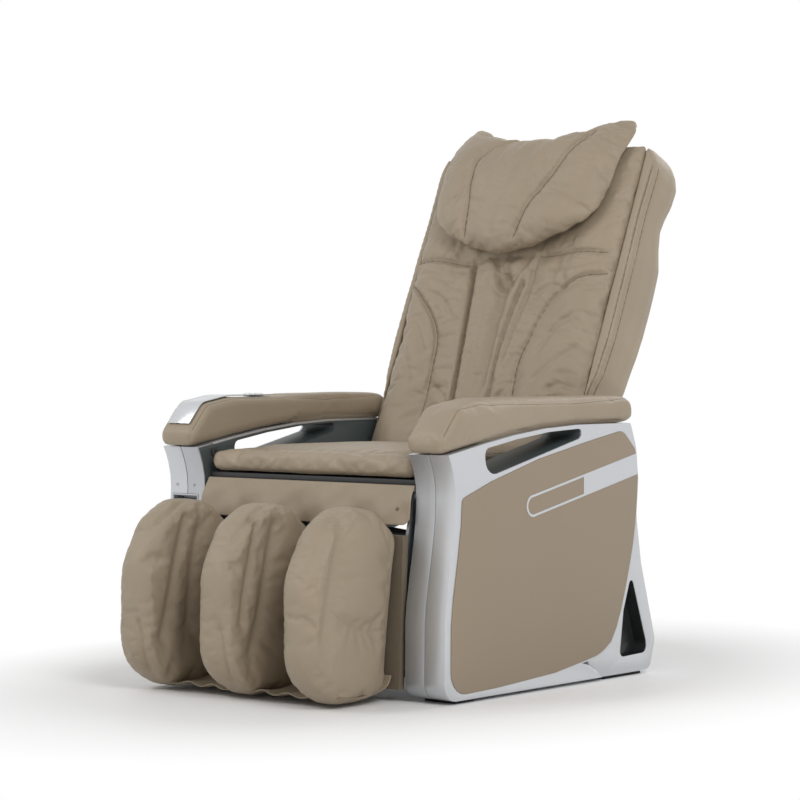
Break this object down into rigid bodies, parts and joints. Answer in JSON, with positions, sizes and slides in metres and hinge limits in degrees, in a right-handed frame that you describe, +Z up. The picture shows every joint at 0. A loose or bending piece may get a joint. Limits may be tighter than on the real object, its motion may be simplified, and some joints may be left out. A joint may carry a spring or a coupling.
{
  "type": "massage chair",
  "caption": "Coin-operated massage chair: reclining padded back with a roller carriage, lifting footrest with calf pads, and armrests with a bill slot and control panel.",
  "frame": {"origin": "on the floor, under the middle of the chair's width and depth", "axes": "+Z up, -Y towards the sitter's feet (front), +X towards the sitter's left"},
  "size_m": [0.764, 1.1689, 1.1745],
  "materials": {
    "silver_plastic": "satin",
    "brushed_post": "satin",
    "padded_leather": "satin",
    "thin_leather": "satin",
    "inlay_board": "satin",
    "dark_plastic": "matte",
    "frame_steel": "satin",
    "bright_steel": "satin",
    "black_plastic": "satin",
    "soft_rubber": "matte",
    "lens": "gloss",
    "key_plastic": "satin",
    "board_wood": "matte",
    "roller_plastic": "satin"
  },
  "bodies": {
    "base": {"front_frame": "frame_steel", "side_frame_left": "frame_steel", "side_frame_right": "frame_steel", "cross_tubes": "frame_steel", "side_shell_left": "silver_plastic", "side_shell_right": "silver_plastic", "post_cover_left": "brushed_post", "post_cover_right": "brushed_post", "inner_liner_left": "dark_plastic", "inner_liner_right": "dark_plastic", "inlay_left": "inlay_board", "inlay_right": "inlay_board", "inlay_trim_left": "silver_plastic", "inlay_trim_right": "silver_plastic", "arm_pad_left": "padded_leather", "arm_pad_right": "padded_leather", "rear_foot_left": "silver_plastic", "rear_foot_right": "silver_plastic", "rubber_feet": "soft_rubber", "wheel_axles": "bright_steel", "seat_pan": "frame_steel", "seat_cushion": "padded_leather", "seat_apron": "thin_leather", "control_plate": "silver_plastic", "display_lens": "lens", "bill_acceptor": "silver_plastic", "cash_box": "dark_plastic", "control_box": "black_plastic", "power_inlet": "black_plastic", "footrest_shaft": "bright_steel"},
    "footrest": {"footrest_frame": "frame_steel", "footrest_board": "board_wood", "calf_pad_left": "padded_leather", "calf_pad_middle": "padded_leather", "calf_pad_right": "padded_leather"},
    "footrest_ram": {"footrest_ram_body": "black_plastic"},
    "footrest_rod": {"footrest_ram_rod": "bright_steel"},
    "recline_ram": {"recline_ram_body": "black_plastic"},
    "recline_rod": {"recline_ram_rod": "bright_steel"},
    "backrest": {"back_frame": "frame_steel", "rear_cover": "inlay_board", "back_cushion": "padded_leather", "back_side_left": "padded_leather", "back_side_right": "padded_leather", "head_pillow": "padded_leather", "screw_motor": "black_plastic"},
    "screw": {"lead_screw": "bright_steel"},
    "massage_carriage": {"carriage": "dark_plastic"},
    "knead_left": {"knead_arm_left": "bright_steel"},
    "knead_right": {"knead_arm_right": "bright_steel"},
    "roller_ul": {"roller_upper_left": "roller_plastic"},
    "roller_ll": {"roller_lower_left": "roller_plastic"},
    "roller_ur": {"roller_upper_right": "roller_plastic"},
    "roller_lr": {"roller_lower_right": "roller_plastic"},
    "wheel_l": {"wheel_left": "black_plastic"},
    "wheel_r": {"wheel_right": "black_plastic"},
    "lock": {"lock_cylinder": "black_plastic"},
    "start_key": {"button_start": "key_plastic"},
    "recline_key": {"button_recline": "key_plastic"},
    "upright_key": {"button_upright": "key_plastic"}
  },
  "joints": [
    {"name": "recline", "type": "hinge", "parent": "base", "child": "backrest", "pos_m": [0, 0.215, 0.44], "axis": [-1, 0, 0], "range_deg": [0, 35]},
    {"name": "footrest_lift", "type": "hinge", "parent": "base", "child": "footrest", "pos_m": [0, -0.285, 0.392], "axis": [-1, 0, 0], "range_deg": [0, 75]},
    {"name": "footrest_ram_swing", "type": "hinge", "parent": "base", "child": "footrest_ram", "pos_m": [0.06, -0.028, 0.28], "axis": [-1, 0, 0], "range_deg": [-4, 0.5]},
    {"name": "footrest_ram_stroke", "type": "slide", "parent": "footrest_ram", "child": "footrest_rod", "axis": [0, -0.9845, 0.1756], "range_m": [-0.001, 0.108]},
    {"name": "recline_ram_swing", "type": "hinge", "parent": "base", "child": "recline_ram", "pos_m": [-0.06, -0.207, 0.26], "axis": [1, 0, 0], "range_deg": [-0.5, 3]},
    {"name": "recline_ram_stroke", "type": "slide", "parent": "recline_ram", "child": "recline_rod", "axis": [0, -0.9703, -0.242], "range_m": [-0.001, 0.045]},
    {"name": "carriage_travel", "type": "slide", "parent": "backrest", "child": "massage_carriage", "axis": [0, 0.3987, 0.9171], "range_m": [0, 0.36]},
    {"name": "screw_spin", "type": "hinge", "parent": "backrest", "child": "screw", "pos_m": [0, 0.37171, 0.675], "axis": [0, 0.3987, 0.9171], "range_deg": [-10, 10810]},
    {"name": "knead_left_swing", "type": "hinge", "parent": "massage_carriage", "child": "knead_left", "pos_m": [0.065, 0.33382, 0.58788], "axis": [0, 0.9171, -0.3987], "range_deg": [-8, 8]},
    {"name": "knead_right_swing", "type": "hinge", "parent": "massage_carriage", "child": "knead_right", "pos_m": [-0.065, 0.33382, 0.58788], "axis": [0, 0.9171, -0.3987], "range_deg": [-8, 8]},
    {"name": "roller_ul_spin", "type": "hinge", "parent": "knead_left", "child": "roller_ul", "pos_m": [0.083, 0.32912, 0.64227], "axis": [1, 0, 0], "continuous": true},
    {"name": "roller_ll_spin", "type": "hinge", "parent": "knead_left", "child": "roller_ll", "pos_m": [0.083, 0.29084, 0.55423], "axis": [1, 0, 0], "continuous": true},
    {"name": "roller_ur_spin", "type": "hinge", "parent": "knead_right", "child": "roller_ur", "pos_m": [-0.083, 0.32912, 0.64227], "axis": [1, 0, 0], "continuous": true},
    {"name": "roller_lr_spin", "type": "hinge", "parent": "knead_right", "child": "roller_lr", "pos_m": [-0.083, 0.29084, 0.55423], "axis": [1, 0, 0], "continuous": true},
    {"name": "wheel_l_spin", "type": "hinge", "parent": "base", "child": "wheel_l", "pos_m": [0.29, 0.337, 0.084], "axis": [1, 0, 0], "continuous": true},
    {"name": "wheel_r_spin", "type": "hinge", "parent": "base", "child": "wheel_r", "pos_m": [-0.29, 0.337, 0.084], "axis": [1, 0, 0], "continuous": true},
    {"name": "lock_turn", "type": "hinge", "parent": "base", "child": "lock", "pos_m": [-0.289, -0.28, 0.463], "axis": [1, 0, 0], "range_deg": [0, 90]},
    {"name": "start_press", "type": "slide", "parent": "base", "child": "start_key", "axis": [0, 0, -1], "range_m": [0, 0.0015], "stiffness_N_per_m": 500, "springref_m": -0.0006},
    {"name": "recline_press", "type": "slide", "parent": "base", "child": "recline_key", "axis": [0, 0, -1], "range_m": [0, 0.0015], "stiffness_N_per_m": 500, "springref_m": -0.0006},
    {"name": "upright_press", "type": "slide", "parent": "base", "child": "upright_key", "axis": [0, 0, -1], "range_m": [0, 0.0015], "stiffness_N_per_m": 500, "springref_m": -0.0006}
  ],
  "couplings": [
    {"joint": "footrest_ram_swing", "follows": "footrest_lift", "ratio": -0.04612},
    {"joint": "footrest_ram_stroke", "follows": "footrest_lift", "m_per_rad": 0.079062},
    {"joint": "recline_ram_swing", "follows": "recline", "ratio": 0.03912},
    {"joint": "recline_ram_stroke", "follows": "recline", "m_per_rad": 0.069289},
    {"joint": "screw_spin", "follows": "carriage_travel", "rad_per_m": 523.6},
    {"joint": "knead_right_swing", "follows": "knead_left_swing", "ratio": -1}
  ]
}
